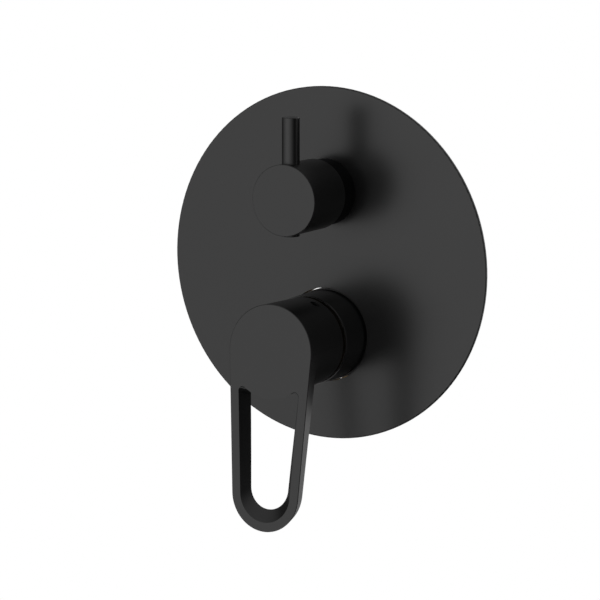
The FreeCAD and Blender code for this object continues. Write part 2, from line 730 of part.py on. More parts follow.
def body_hollows():
    ring_half = sleeve_ring_section + part_gap
    hollows = [rod(thread_boss_front_out + cut_spare, cavity_bottom_out, cavity_radius, 0, mixer_z),
               tube(sleeve_ring_out - ring_half, sleeve_ring_out + ring_half,
                    seal_boss_radius + cut_spare, sleeve_bore_radius - 2 * sleeve_ring_section,
                    mixer_z),
               rod(diverter_boss_front_out + cut_spare, diverter_seat_out, diverter_bore_radius, 0,
                   diverter_z),
               rod(diverter_channel_front_out, diverter_channel_back_out, diverter_channel_radius, 0,
                   diverter_z)]
    # Hot water comes in on the left and cold on the right; each bore stops beside the bath duct.
    for side in (-1, 1):
        ends = sorted((side * inlet_bore_end_x, side * (inlet_half_span + cut_spare)))
        hollows.append(cross_bar(inlet_bore_radius, ends[0], ends[1]))
        ends = sorted((side * (inlet_half_span - pipe_thread_depth),
                       side * (inlet_half_span + cut_spare)))
        hollows.append(cross_bar(pipe_thread_radius, ends[0], ends[1]))
        x, up = inlet_port_place(side)
        hollows.append(rod(cavity_bottom_out + cut_spare, inlet_drill_end_out, inlet_port_radius, x,
                           mixer_z + up))
    # Mixed water rises from the cartridge to the channel round the diverter.
    hollows.append(rod(cavity_bottom_out + cut_spare, mixed_duct_out, mixed_port_radius, 0,
                       mixer_z))
    hollows.append(upright(mixed_duct_radius, mixer_z - mixed_duct_foot,
                           diverter_z - diverter_bore_radius, 0, mixed_duct_out))
    # The diverter's two seat holes lead up to the shower outlet and down to the bath outlet.
    for side in (-1, 1):
        hollows.append(rod(diverter_seat_out + cut_spare, port_plane_out, diverter_port_radius, 0,
                           diverter_z + side * diverter_port_up))
    above = top_outlet_z + cut_spare
    below = bath_outlet_z - cut_spare
    hollows.append(upright(outlet_bore_radius, diverter_z + divider_half, above, 0, port_plane_out))
    hollows.append(upright(pipe_thread_radius, top_outlet_z - pipe_thread_depth, above, 0,
                           port_plane_out))
    hollows.append(upright(outlet_bore_radius, below, diverter_z - divider_half, 0, port_plane_out))
    hollows.append(upright(pipe_thread_radius, below, bath_outlet_z + pipe_thread_depth, 0,
                           port_plane_out))
    for x in (-lug_half_span, lug_half_span):
        for z in (upper_lug_z, lower_lug_z):
            hollows.append(rod(lug_back_out + lug_thickness + cut_spare, lug_back_out - cut_spare,
                               lug_hole_radius, x, z))
    return hollows


def make_valve_body():
    return body_outside().cut(body_hollows())


# Diverter

def shell_inner_radius():
    return diverter_bore_radius - fit_gap - diverter_shell_wall


def make_diverter_shell():
    outer = diverter_bore_radius - fit_gap
    inner = shell_inner_radius()
    shell = turned([(diverter_shell_front_out, diverter_shell_bore),
                    (diverter_shell_front_out, outer), (diverter_shell_back_out, outer),
                    (diverter_shell_back_out, inner), (diverter_shell_shoulder_out, inner),
                    (diverter_shell_shoulder_out, diverter_shell_bore)], diverter_z)
    groove_half = diverter_shell_ring_section + part_gap
    shell = shell.cut(tube(diverter_shell_ring_out - groove_half,
                           diverter_shell_ring_out + groove_half, outer + cut_spare,
                           diverter_bore_radius - 2 * diverter_shell_ring_section, diverter_z))
    window_front = spindle_foot_outs()[1] - window_drop
    for step in range(window_count):
        window = block(-window_width / 2.0, window_width / 2.0, window_front - window_height,
                       window_front, diverter_z + inner - cut_spare, diverter_z + outer + cut_spare)
        window.rotate(FreeCAD.Vector(0, 0, diverter_z), FreeCAD.Vector(0, 1, 0),
                      360.0 * (step + 0.5) / window_count)
        shell = shell.cut(window)
    return shell


def make_diverter_shell_ring():
    return sealing_ring(diverter_bore_radius, diverter_shell_ring_section,
                        diverter_shell_ring_out, diverter_z)


def make_diverter_nut():
    nut = tube(diverter_shell_front_out, diverter_nut_front_out, diverter_bore_radius,
               diverter_shell_bore + fit_gap, diverter_z)
    slot = block(-diverter_bore_radius, diverter_bore_radius,
                 diverter_nut_front_out - diverter_nut_slot_depth, diverter_nut_front_out + cut_spare,
                 diverter_z - diverter_nut_slot / 2.0, diverter_z + diverter_nut_slot / 2.0)
    return nut.cut(slot)


def spindle_foot_outs():
    front = diverter_shell_shoulder_out - part_gap
    return front, front - spindle_foot_thickness


def make_spindle():
    foot_front, foot_back = spindle_foot_outs()
    neck = diverter_shell_bore - running_gap
    foot = shell_inner_radius() - turner_gap
    spindle = turned([(foot_back, 0), (foot_back, foot), (foot_front, foot), (foot_front, neck),
                      (spindle_step_out, neck), (spindle_step_out, spindle_end_radius),
                      (spindle_end_out, spindle_end_radius), (spindle_end_out, 0)], diverter_z)
    groove_half = spindle_ring_section + part_gap
    groove_floor = diverter_shell_bore - spindle_ring_gap - 2 * spindle_ring_section
    spindle = spindle.cut(tube(spindle_ring_out - groove_half, spindle_ring_out + groove_half,
                               neck + cut_spare, groove_floor, diverter_z))
    flat = block(-spindle_end_radius, spindle_end_radius, spindle_step_out,
                 spindle_end_out + cut_spare, diverter_z - spindle_end_radius - cut_spare,
                 diverter_z - spindle_flat)
    dog = block(-dog_width / 2.0, dog_width / 2.0, foot_back - dog_height, foot_back + cut_spare,
                diverter_z - spindle_end_radius, diverter_z + spindle_end_radius)
    return spindle.cut(flat).fuse(dog).removeSplitter()


def make_spindle_ring():
    return sealing_ring(diverter_shell_bore - spindle_ring_gap, spindle_ring_section,
                        spindle_ring_out, diverter_z)


def make_diverter_turning_disc():
    front = spindle_foot_outs()[1]
    back = front - diverter_disc_thickness
    radius = shell_inner_radius() - turner_gap
    disc = rod(front, back, radius, 0, diverter_z)
    dog_slot = block(-dog_width / 2.0, dog_width / 2.0, front - dog_height, front + cut_spare,
                     diverter_z - spindle_end_radius, diverter_z + spindle_end_radius)
    # A quarter of the disc is cut away to its edge. It uncovers the upper hole with the pin
    # upright, and the lower hole once the pin has turned a quarter round to the left.
    gate_front = front - dog_height - diverter_gate_wall
    behind = back - cut_spare
    edge = radius + cut_spare
    quarter = tube(behind, gate_front, edge, diverter_port_up - diverter_port_radius, diverter_z)
    quarter = quarter.common(block(-edge, 0, behind, gate_front, diverter_z, diverter_z + edge))
    disc = disc.cut(dog_slot).cut(quarter)
    for turn in (0, diverter_turn_angle):
        end = rod(gate_front, behind, diverter_port_radius, 0, diverter_z + diverter_port_up)
        end = end.fuse(block(-diverter_port_radius, diverter_port_radius, behind, gate_front,
                             diverter_z + diverter_port_up, diverter_z + edge))
        end.rotate(FreeCAD.Vector(0, 0, diverter_z), FreeCAD.Vector(0, -1, 0), turn)
        disc = disc.cut(end)
    return disc


def seat_disc_outs():
    front = spindle_foot_outs()[1] - diverter_disc_thickness - running_gap
    return front, front - diverter_seat_disc_thickness


def drill_seat(solid, front_out, back_out):
    for side in (-1, 1):
        solid = solid.cut(rod(front_out + cut_spare, back_out - cut_spare, diverter_port_radius, 0,
                              diverter_z + side * diverter_port_up))
    return solid


def make_diverter_seat_disc():
    front, back = seat_disc_outs()
    return drill_seat(rod(front, back, shell_inner_radius(), 0, diverter_z), front, back)


def make_diverter_seal():
    front = seat_disc_outs()[1]
    seal = rod(front, diverter_seat_out, shell_inner_radius() - fit_gap, 0, diverter_z)
    return drill_seat(seal, front, diverter_seat_out)


def make_collar():
    floor = collar_front_out - collar_face_thickness
    return turned([(plate_front_out, diverter_boss_radius), (plate_front_out, collar_radius),
                   (collar_front_out - knob_edge_break, collar_radius),
                   (collar_front_out, collar_radius - knob_edge_break),
                   (collar_front_out, collar_hole_radius), (floor, collar_hole_radius),
                   (floor, diverter_boss_radius)], diverter_z)


def make_knob():
    knob = turned([(knob_back_out, 0), (knob_back_out, knob_radius - knob_edge_break),
                   (knob_back_out + knob_edge_break, knob_radius),
                   (knob_front_out - knob_edge_break, knob_radius),
                   (knob_front_out, knob_radius - knob_edge_break), (knob_front_out, 0)],
                  diverter_z)
    behind = knob_back_out - cut_spare
    reach = knob_radius + cut_spare
    recess = rod(knob_back_out + knob_recess_depth, behind, knob_recess_radius, 0, diverter_z)
    bore_end = spindle_end_out + knob_bore_end_gap
    bore = rod(bore_end, behind, spindle_end_radius, 0, diverter_z)
    below_flat = block(-spindle_end_radius, spindle_end_radius, behind, bore_end,
                       diverter_z - spindle_end_radius - cut_spare, diverter_z - spindle_flat)
    screw_hole = upright(knob_screw_radius, diverter_z - reach, diverter_z, 0, knob_screw_out)
    pin_hole = upright(pin_radius, diverter_z - reach, diverter_z + reach, 0, pin_out)
    return knob.cut(recess).cut(bore.cut(below_flat)).cut(screw_hole).cut(pin_hole)


def make_pin_lever():
    low = diverter_z - knob_radius - pin_poke
    pin = upright(pin_radius, low, pin_top_z, 0, pin_out)
    return pin.makeChamfer(pin_edge_break, [edge for edge in pin.Edges if edge.Closed
                                            and edge.Length < 2.1 * math.pi * pin_radius])


def make_knob_screw():
    top = diverter_z - spindle_flat
    screw = upright(knob_screw_radius, top - knob_screw_length, top, 0, knob_screw_out)
    return screw.cut(hex_key_hole(knob_screw_key, knob_screw_key_depth,
                                  point(0, knob_screw_out, top - knob_screw_length),
                                  FreeCAD.Vector(0, 0, 1)))


pieces = {
    "cover_plate": make_cover_plate,
    "plate_foam": make_plate_foam,
    "sleeve": make_sleeve,
    "sleeve_ring": make_sleeve_ring,
    "handle": make_handle,
    "handle_insert": make_handle_insert,
    "insert_screw": make_insert_screw,
    "handle_screw": make_hub_screw,
    "cartridge_housing": make_cartridge_housing,
    "cartridge_rotor": make_cartridge_rotor,
    "pivot_pin": make_pivot_pin,
    "cartridge_stem": make_stem,
    "disc_carrier": make_disc_carrier,
    "moving_disc": make_moving_disc,
    "fixed_disc": make_fixed_disc,
    "disc_seals": make_disc_seals,
    "cartridge_base": make_cartridge_base,
    "base_seals": make_base_seals,
    "cartridge_nut": make_cartridge_nut,
    "valve_body": make_valve_body,
    "diverter_shell": make_diverter_shell,
    "diverter_shell_ring": make_diverter_shell_ring,
    "diverter_nut": make_diverter_nut,
    "diverter_spindle": make_spindle,
    "spindle_ring": make_spindle_ring,
    "diverter_turning_disc": make_diverter_turning_disc,
    "diverter_seat_disc": make_diverter_seat_disc,
    "diverter_seal": make_diverter_seal,
    "diverter_collar": make_collar,
    "diverter_knob": make_knob,
    "pin_lever": make_pin_lever,
    "knob_screw": make_knob_screw,
}

os.makedirs("parts", exist_ok=True)
for name, make in pieces.items():
    shape = make()
    shape.exportStep("parts/" + name + ".step")
    print(name, len(shape.Solids), shape.isValid(), round(shape.Volume, 1))
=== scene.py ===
import bmesh
import bpy
import json
import math
import numpy as np
from mathutils import Matrix, Vector


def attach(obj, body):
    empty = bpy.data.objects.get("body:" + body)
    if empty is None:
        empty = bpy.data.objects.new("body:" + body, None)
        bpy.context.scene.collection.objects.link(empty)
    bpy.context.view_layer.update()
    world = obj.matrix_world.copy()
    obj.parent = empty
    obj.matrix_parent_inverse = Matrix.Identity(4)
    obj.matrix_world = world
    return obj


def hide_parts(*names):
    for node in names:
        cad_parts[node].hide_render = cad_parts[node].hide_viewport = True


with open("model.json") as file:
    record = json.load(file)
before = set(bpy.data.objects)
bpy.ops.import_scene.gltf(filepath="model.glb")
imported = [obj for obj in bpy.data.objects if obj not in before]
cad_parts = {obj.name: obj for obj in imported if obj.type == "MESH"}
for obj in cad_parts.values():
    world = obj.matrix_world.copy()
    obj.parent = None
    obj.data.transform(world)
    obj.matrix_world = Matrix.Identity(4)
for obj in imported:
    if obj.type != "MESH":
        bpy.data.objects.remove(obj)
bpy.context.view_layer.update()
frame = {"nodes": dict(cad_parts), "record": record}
nodes = frame["nodes"]
print("frame loaded:", len(nodes), "nodes")

scene = bpy.context.scene
scene.view_settings.view_transform = "Standard"


# Camera: stands to the right of the plate and a little above it, level, with a long lens.
# Angles are in degrees and lengths in metres, but lens and sensor are in millimetres

cameraPlace = {
    "azimuth": 30.184,
    "elevation": 9.524,
    "distance": 1.258229,
    "sideways": -0.013445,
    "upwards": -0.018355,
    "plateDepth": 0.0019,
    "lens": 148.962,
    "sensor": 36,
    "nearest": 0.01,
}


def addCamera(place):
    turn = math.radians(place["azimuth"])
    rise = math.radians(place["elevation"])
    flat = math.cos(rise)
    back = Vector((math.sin(turn) * flat, -math.cos(turn) * flat, math.sin(rise)))
    right = (-back).cross(Vector((0, 0, 1))).normalized()
    up = right.cross(-back)
    spot = back * place["distance"] + right * place["sideways"] + up * place["upwards"]
    spot.y -= place["plateDepth"]
    data = bpy.data.cameras.new("camera")
    data.lens = place["lens"]
    data.sensor_width = place["sensor"]
    data.clip_start = place["nearest"]
    camera = bpy.data.objects.new("camera", data)
    scene.collection.objects.link(camera)
    camera.matrix_world = Matrix.Translation(spot) @ Matrix((right, up, back)).transposed().to_4x4()
    scene.camera = camera


addCamera(cameraPlace)
print("camera placed")


# Small helpers for node trees

def addNode(tree, kind, **settings):
    node = tree.nodes.new(kind)
    for name, value in settings.items():
        if name == "inputs":
            for socket, given in value.items():
                node.inputs[socket].default_value = given
        else:
            setattr(node, name, value)
    return node


def feed(tree, socket, value):
    # A socket takes a plain value, or a link from another socket
    if isinstance(value, bpy.types.NodeSocket):
        tree.links.new(value, socket)
    else:
        socket.default_value = value


def mathNode(tree, operation, first, second=None, clamp=False):
    node = addNode(tree, "ShaderNodeMath", operation=operation, use_clamp=clamp)
    feed(tree, node.inputs[0], first)
    if second is not None:
        feed(tree, node.inputs[1], second)
    return node.outputs[0]


def remap(tree, value, fromRange, toRange=(0.0, 1.0)):
    node = addNode(tree, "ShaderNodeMapRange",
                   inputs={"From Min": fromRange[0], "From Max": fromRange[1],
                           "To Min": toRange[0], "To Max": toRange[1]})
    tree.links.new(value, node.inputs["Value"])
    return node.outputs["Result"]


# A Mix node has one set of sockets for each kind of value, all with the same names, so both
# functions take theirs by number

def mixLevel(tree, factor, first, second):
    mix = addNode(tree, "ShaderNodeMix", data_type="FLOAT")
    tree.links.new(factor, mix.inputs["Factor"])
    feed(tree, mix.inputs[2], first)
    feed(tree, mix.inputs[3], second)
    return mix.outputs[0]


def mixColour(tree, factor, first, second):
    mix = addNode(tree, "ShaderNodeMix", data_type="RGBA")
    tree.links.new(factor, mix.inputs["Factor"])
    for socket, value in ((6, first), (7, second)):
        feed(tree, mix.inputs[socket], value + (1,) if isinstance(value, tuple) else value)
    return mix.outputs[2]


def splitVector(tree, vector):
    parts = addNode(tree, "ShaderNodeSeparateXYZ")
    tree.links.new(vector, parts.inputs[0])
    return parts.outputs["X"], parts.outputs["Y"], parts.outputs["Z"]


def texturePlace(tree, kind="Object"):
    return addNode(tree, "ShaderNodeTexCoord").outputs[kind]


# Stage: a white room for the camera, lit as a studio is: one broad soft light in front, a dark strip
# on either side, white behind, and a pale floor well below the part. Round the compass 0 degrees is
# the front and 90 the right. A band says between which heights one level gives way to another

stageLook = {
    "backdrop": 1.0,
    "roundAbout": [(-180, 1.0), (-158, 0.35), (-138, 0.1), (-110, 0.04), (-90, 0.12), (-75, 0.32),
                   (-59, 0.64), (-42, 0.97), (-34, 1.1), (-26, 1.27), (-12, 1.3), (2, 1.24),
                   (12, 1.06), (30, 0.78), (43, 0.5), (55, 0.27), (69, 0.1), (84, 0.02),
                   (97, 0.08), (113, 0.34), (128, 0.5), (150, 0.92), (180, 1.05)],
    "overhead": 0.42,
    "overheadBand": (0.35, 0.95),
    "underneath": 0.08,
    "underneathBand": (-0.36, -0.5),
    "plainLevel": 0.8,
    "floorHeight": -1.25,
    "floorRadius": 0.72,
    "floorPoints": 96,
    "floorColour": (0.9, 0.9, 0.9, 1),
    "floorLift": 0.13,
    "lampPlace": (-0.5, -1.0, 2.6),
    "lampSize": 0.7,
    "lampPower": 30.0,
}


def compassLevel(tree, east, north, levels):
    # The angle round the compass, turned into a place along a ramp that holds the levels
    south = mathNode(tree, "MULTIPLY", north, -1.0)
    compass = mathNode(tree, "ARCTAN2", east, south)
    ramp = addNode(tree, "ShaderNodeValToRGB")
    ramp.color_ramp.interpolation = "EASE"
    stops = ramp.color_ramp.elements
    brightest = max(level for angle, level in levels)
    for angle, level in levels:
        place = (angle + 180) / 360
        stop = stops[0] if place == 0 else stops[-1] if place == 1 else stops.new(place)
        stop.color = (level / brightest,) * 3 + (1,)
    tree.links.new(remap(tree, compass, (-math.pi, math.pi)), ramp.inputs["Fac"])
    return mathNode(tree, "MULTIPLY", ramp.outputs["Color"], brightest)


def buildRoom(look):
    # The level round the compass gives way to one plain level high overhead and to another low
    # down. That is what shines in gloss; matt surfaces get one even level, and straight to the
    # camera the room is white
    world = bpy.data.worlds.new("studioRoom")
    scene.world = world
    world.use_nodes = True
    tree = world.node_tree
    east, north, height = splitVector(tree, texturePlace(tree, "Generated"))
    level = compassLevel(tree, east, north, look["roundAbout"])
    level = mixLevel(tree, remap(tree, height, look["overheadBand"]), level, look["overhead"])
    level = mixLevel(tree, remap(tree, height, look["underneathBand"]), level, look["underneath"])
    rays = addNode(tree, "ShaderNodeLightPath")
    level = mixLevel(tree, rays.outputs["Is Diffuse Ray"], level, look["plainLevel"])
    level = mixLevel(tree, rays.outputs["Is Camera Ray"], level, look["backdrop"])
    background = tree.nodes["Background"]
    background.inputs["Color"].default_value = (1, 1, 1, 1)
    tree.links.new(level, background.inputs["Strength"])


def backgroundRays(tree):
    rays = addNode(tree, "ShaderNodeLightPath")
    seen = mathNode(tree, "MAXIMUM", rays.outputs["Is Camera Ray"], rays.outputs["Is Glossy Ray"])
    return mathNode(tree, "MAXIMUM", seen, rays.outputs["Is Transmission Ray"])


def floorPaint(look):
    # Pale matt paint that takes the part's shadow, lifted a little to white where it is seen
    material = bpy.data.materials.new("paleFloor")
    material.use_nodes = True
    tree = material.node_tree
    tree.nodes.clear()
    matt = addNode(tree, "ShaderNodeBsdfDiffuse", inputs={"Color": look["floorColour"]})
    glow = addNode(tree, "ShaderNodeEmission")
    lift = mathNode(tree, "MULTIPLY", backgroundRays(tree), look["floorLift"])
    tree.links.new(lift, glow.inputs["Strength"])
    both = addNode(tree, "ShaderNodeAddShader")
    tree.links.new(matt.outputs[0], both.inputs[0])
    tree.links.new(glow.outputs[0], both.inputs[1])
    out = addNode(tree, "ShaderNodeOutputMaterial")
    tree.links.new(both.outputs[0], out.inputs["Surface"])
    return material


def buildFloor(look):
    # A round disc: points at equal steps of angle round the foot of the room's upright axis
    count = look["floorPoints"]
    angle = np.linspace(0, 2 * math.pi, count, endpoint=False)
    rim = np.stack((look["floorRadius"] * np.cos(angle), look["floorRadius"] * np.sin(angle),
                    np.full(count, look["floorHeight"])), axis=1)
    mesh = bpy.data.meshes.new("floor")
    mesh.from_pydata(rim.tolist(), [], [list(range(count))])
    mesh.materials.append(floorPaint(look))
    floor = bpy.data.objects.new("floor", mesh)
    scene.collection.objects.link(floor)


def buildLamp(look):
    data = bpy.data.lights.new("softLamp", "AREA")
    data.shape = "SQUARE"
    data.size = look["lampSize"]
    data.energy = look["lampPower"]
    lamp = bpy.data.objects.new("softLamp", data)
    scene.collection.objects.link(lamp)
    lamp.visible_glossy = False
    lamp.location = look["lampPlace"]
    lamp.rotation_euler = (-Vector(look["lampPlace"])).to_track_quat("-Z", "Y").to_euler()


buildRoom(stageLook)
buildFloor(stageLook)
buildLamp(stageLook)
print("stage built")


# Effects used by several materials, each a group of its own. A noise is given as detail and
# roughness, a range as the values that become 0 and 1

effectLook = {
    "fineNoise": (2.0, 0.6),
    "slowNoise": (4.0, 0.55),
    "toneRange": (0.3, 0.7),
    "bevelSamples": 6,
    "leanRange": (0.995, 0.8),
    "breakupNoise": (3.0, 0.5),
    "breakupRange": (0.35, 0.6),
    "leastBreakup": 0.25,
    "ringNoise": (2.0, 0.5),
    "ringNoiseScale": 900.0,
    "threadMargin": 1.1,
    "mouthMargin": 0.0001,
}


def newGroup(name, takes, gives):
    group = bpy.data.node_groups.new(name, "ShaderNodeTree")
    for label, value in takes.items():
        kind = "NodeSocketVector" if isinstance(value, tuple) else "NodeSocketFloat"
        socket = group.interface.new_socket(label, in_out="INPUT", socket_type=kind)
        socket.default_value = value
    for label in gives:
        group.interface.new_socket(label, in_out="OUTPUT", socket_type="NodeSocketFloat")
    given = addNode(group, "NodeGroupInput").outputs
    made = addNode(group, "NodeGroupOutput").inputs
    return group, given, made


def noiseOn(tree, scale, detailAndRoughness, place=None):
    detail, roughness = detailAndRoughness
    noise = addNode(tree, "ShaderNodeTexNoise", inputs={"Detail": detail, "Roughness": roughness})
    feed(tree, noise.inputs["Scale"], scale)
    tree.links.new(place or texturePlace(tree), noise.inputs["Vector"])
    return noise.outputs["Fac"]


def distanceAcross(tree, x, y):
    xSquare = mathNode(tree, "POWER", x, 2.0)
    ySquare = mathNode(tree, "POWER", y, 2.0)
    return mathNode(tree, "SQRT", mathNode(tree, "ADD", xSquare, ySquare))


def buildGrainGroup(look):
    # Fine even grain of a sprayed or moulded skin, with a slow drift in tone over it
    group, given, made = newGroup("skinGrain", {"Fine Scale": 2600.0, "Slow Scale": 26.0},
                                  ["Height", "Tone"])
    fine = noiseOn(group, given["Fine Scale"], look["fineNoise"])
    slow = noiseOn(group, given["Slow Scale"], look["slowNoise"])
    group.links.new(fine, made["Height"])
    group.links.new(remap(group, slow, look["toneRange"]), made["Tone"])
    return group


def buildEdgeGroup(look):
    # Mask along sharp edges, where finishes turn lighter, partly as wear and partly as a painted
    # highlight: how far a rounded-over normal leans from the true one
    group, given, made = newGroup("edgeWearAndHighlight", {"Width": 0.0006, "Breakup Scale": 700.0}, ["Mask"])
    rounded = addNode(group, "ShaderNodeBevel", samples=look["bevelSamples"])
    group.links.new(given["Width"], rounded.inputs["Radius"])
    trueNormal = addNode(group, "ShaderNodeNewGeometry").outputs["Normal"]
    dot = addNode(group, "ShaderNodeVectorMath", operation="DOT_PRODUCT")
    group.links.new(rounded.outputs["Normal"], dot.inputs[0])
    group.links.new(trueNormal, dot.inputs[1])
    lean = remap(group, dot.outputs["Value"], look["leanRange"])
    noise = noiseOn(group, given["Breakup Scale"], look["breakupNoise"])
    broken = remap(group, noise, look["breakupRange"], (look["leastBreakup"], 1.0))
    group.links.new(mathNode(group, "MULTIPLY", lean, broken), made["Mask"])
    return group


def buildTurnedGroup(look):
    # Marks of a turning tool: rings a pitch apart, counted outwards from the axis and along it
    # together, so they circle an end face and run round a cylinder. Place is local, Z the axis
    group, given, made = newGroup("turnedRings", {"Place": (0.0, 0.0, 0.0), "Pitch": 0.00035},
                                  ["Height"])
    x, y, z = splitVector(group, given["Place"])
    along = mathNode(group, "ADD", distanceAcross(group, x, y), z)
    turns = mathNode(group, "DIVIDE", along, given["Pitch"])
    wave = mathNode(group, "SINE", mathNode(group, "MULTIPLY", turns, 2 * math.pi))
    uneven = noiseOn(group, look["ringNoiseScale"], look["ringNoise"], given["Place"])
    rings = mathNode(group, "MULTIPLY", remap(group, wave, (-1, 1)), uneven)
    group.links.new(rings, made["Height"])
    return group


def buildPortGroup(look):
    # End of a pipe port. Place is local: origin in the middle of the mouth, Z pointing out of it.
    # Machined marks the turned end and the threaded wall, and Groove the depth of the thread
    group, given, made = newGroup("portEnd", {"Place": (0.0, 0.0, 0.0), "Bore Radius": 0.0093,
                                              "Thread Height": 0.00105, "Thread Length": 0.0142,
                                              "End Radius": 0.015, "End Length": 0.0125},
                                  ["Groove", "Machined"])
    x, y, z = splitVector(group, given["Place"])
    across = distanceAcross(group, x, y)
    depth = mathNode(group, "MULTIPLY", z, -1.0)
    beyond = mathNode(group, "SUBTRACT", across, given["Bore Radius"])
    crest = mathNode(group, "MULTIPLY", given["Thread Height"], look["threadMargin"])
    inThread = mathNode(group, "MULTIPLY", mathNode(group, "LESS_THAN", beyond, crest),
                        mathNode(group, "LESS_THAN", depth, given["Thread Length"]))
    groove = mathNode(group, "DIVIDE", beyond, given["Thread Height"], clamp=True)
    groove = mathNode(group, "MULTIPLY", groove, inThread)
    groove = mathNode(group, "MULTIPLY", groove,
                      mathNode(group, "GREATER_THAN", depth, look["mouthMargin"]))
    group.links.new(groove, made["Groove"])
    inEnd = mathNode(group, "MULTIPLY", mathNode(group, "LESS_THAN", across, given["End Radius"]),
                     mathNode(group, "LESS_THAN", depth, given["End Length"]))
    group.links.new(mathNode(group, "MAXIMUM", inThread, inEnd), made["Machined"])
    return group


grainGroup = buildGrainGroup(effectLook)
edgeGroup = buildEdgeGroup(effectLook)
turnedGroup = buildTurnedGroup(effectLook)
portGroup = buildPortGroup(effectLook)
print("effects built:", len(bpy.data.node_groups))


# Helpers for materials

def useGroup(tree, group, values):
    node = addNode(tree, "ShaderNodeGroup", node_tree=group)
    for label, value in values.items():
        feed(tree, node.inputs[label], value)
    return node.outputs


def newSurface(name):
    material = bpy.data.materials.new(name)
    material.use_nodes = True
    tree = material.node_tree
    return material, tree, tree.nodes["Principled BSDF"]


def addBump(tree, surface, height, distance):
    bump = addNode(tree, "ShaderNodeBump", inputs={"Strength": 1.0, "Distance": distance})
    tree.links.new(height, bump.inputs["Height"])
    tree.links.new(bump.outputs["Normal"], surface.inputs["Normal"])


# Black paint on every part that shows in the room: satin on the lever, the knob and the plate,
# and close to matt on the collar

blackPaint = {
    "dark": (0.0012, 0.0012, 0.0013),
    "light": (0.0017, 0.0017, 0.0018),
    "wornAndHighlitEdge": (0.003, 0.003, 0.0031),
    "edgeWidth": 0.0004,
    "grainScale": 3200.0,
    "driftScale": 18.0,
    "kinds": {
        "leverBlackPaint": {"smooth": 0.28, "dull": 0.31, "gloss": 1.53, "grainDepth": 0.000003},
        "plateBlackPaint": {"smooth": 0.27, "dull": 0.3, "gloss": 1.53, "grainDepth": 0.000004},
        "collarBlackPaint": {"smooth": 0.4, "dull": 0.46, "gloss": 1.13, "grainDepth": 0.000006},
    },
}


def buildBlackPaint(name, look, kind):
    material, tree, surface = newSurface(name)
    grain = useGroup(tree, grainGroup, {"Fine Scale": look["grainScale"],
                                        "Slow Scale": look["driftScale"]})
    edge = useGroup(tree, edgeGroup, {"Width": look["edgeWidth"]})
    colour = mixColour(tree, grain["Tone"], look["dark"], look["light"])
    # Lighter along sharp edges: partly worn paint, partly a painted highlight
    colour = mixColour(tree, edge["Mask"], colour, look["wornAndHighlitEdge"])
    tree.links.new(colour, surface.inputs["Base Color"])
    rough = remap(tree, grain["Tone"], (0, 1), (kind["smooth"], kind["dull"]))
    tree.links.new(rough, surface.inputs["Roughness"])
    surface.inputs["IOR"].default_value = kind["gloss"]
    addBump(tree, surface, grain["Height"], kind["grainDepth"])
    return material


# The body: cast brass with a sandy skin, turned bright at the back of the wings and the port ends.
# The front of both bosses is turned too and coloured near-black as painted shade: it stands in for
# the shade that falls in the gap round the tube, so that no brass glints there. A port is given by
# the middle of its mouth, the way it points, and the turn in degrees that brings Z to that way

pipePorts = [
    {"mouth": (-0.046, 0.04, -0.0362), "axis": (-1, 0, 0), "turn": (0.0, -90.0, 0.0)},
    {"mouth": (0.046, 0.04, -0.0362), "axis": (1, 0, 0), "turn": (0.0, 90.0, 0.0)},
    {"mouth": (0.0, 0.04, 0.066), "axis": (0, 0, 1), "turn": (0.0, 0.0, 0.0)},
    {"mouth": (0.0, 0.04, -0.084), "axis": (0, 0, -1), "turn": (180.0, 0.0, 0.0)},
]
castBrassLook = {
    "skin": (0.5, 0.33, 0.14),
    "skinDeep": (0.33, 0.21, 0.085),
    "skinRough": (0.6, 0.42),
    "turned": (0.72, 0.56, 0.3),
    "turnedRough": (0.16, 0.24),
    # painted shade: the near-black colour of the bosses' fronts, for the shade in the gap round the
    # tube
    "paintedShadeColour": (0.012, 0.0118, 0.0115),
    "sandScale": 1100.0,
    "sandDepth": 0.00016,
    "sandRange": (0.3, 0.7),
    "lumpScale": 170.0,
    "lumpDepth": 0.00035,
    "ringDepth": 0.000012,
    "edgeWidth": 0.0008,
    "edgeWearAndSheen": 0.6,
    "grooveShade": 0.6,
    # painted shade covers the body from the front back to this depth
    "paintedShadeFront": 0.0145,
    "frontCentre": (0.0, 0.0, -0.0362),
    "frontTurn": (90.0, 0.0, 0.0),
    "frontPitch": 0.0004,
    "backTurned": 0.0535,
}


def placed(tree, origin, degrees):
    # Object coordinates seen from a place: moved to its origin and turned to its axis
    rotation = tuple(math.radians(angle) for angle in degrees)
    mapping = addNode(tree, "ShaderNodeMapping", vector_type="TEXTURE",
                      inputs={"Location": origin, "Rotation": rotation})
    tree.links.new(texturePlace(tree), mapping.inputs["Vector"])
    return mapping.outputs["Vector"]


def bodyMasks(tree, look, ports):
    # Where the body's front is coloured near-black as painted shade, where it is turned, the height
    # of the tool's rings, and how deep in a thread's groove a point lies
    y = splitVector(tree, texturePlace(tree))[1]
    # Painted shade: the bosses' fronts, nearer than this depth, take the near-black colour
    paintedShade = mathNode(tree, "LESS_THAN", y, look["paintedShadeFront"])
    machined = mathNode(tree, "MAXIMUM", paintedShade,
                        mathNode(tree, "GREATER_THAN", y, look["backTurned"]))
    place = placed(tree, look["frontCentre"], look["frontTurn"])
    front = useGroup(tree, turnedGroup, {"Place": place, "Pitch": look["frontPitch"]})
    rings = mathNode(tree, "MULTIPLY", front["Height"], machined)
    groove = 0.0
    for port in ports:
        place = placed(tree, port["mouth"], port["turn"])
        end = useGroup(tree, portGroup, {"Place": place})
        marks = useGroup(tree, turnedGroup, {"Place": place})
        machined = mathNode(tree, "MAXIMUM", machined, end["Machined"])
        rings = mathNode(tree, "MAXIMUM", rings,
                         mathNode(tree, "MULTIPLY", marks["Height"], end["Machined"]))
        groove = mathNode(tree, "MAXIMUM", groove, end["Groove"])
    return paintedShade, machined, rings, groove


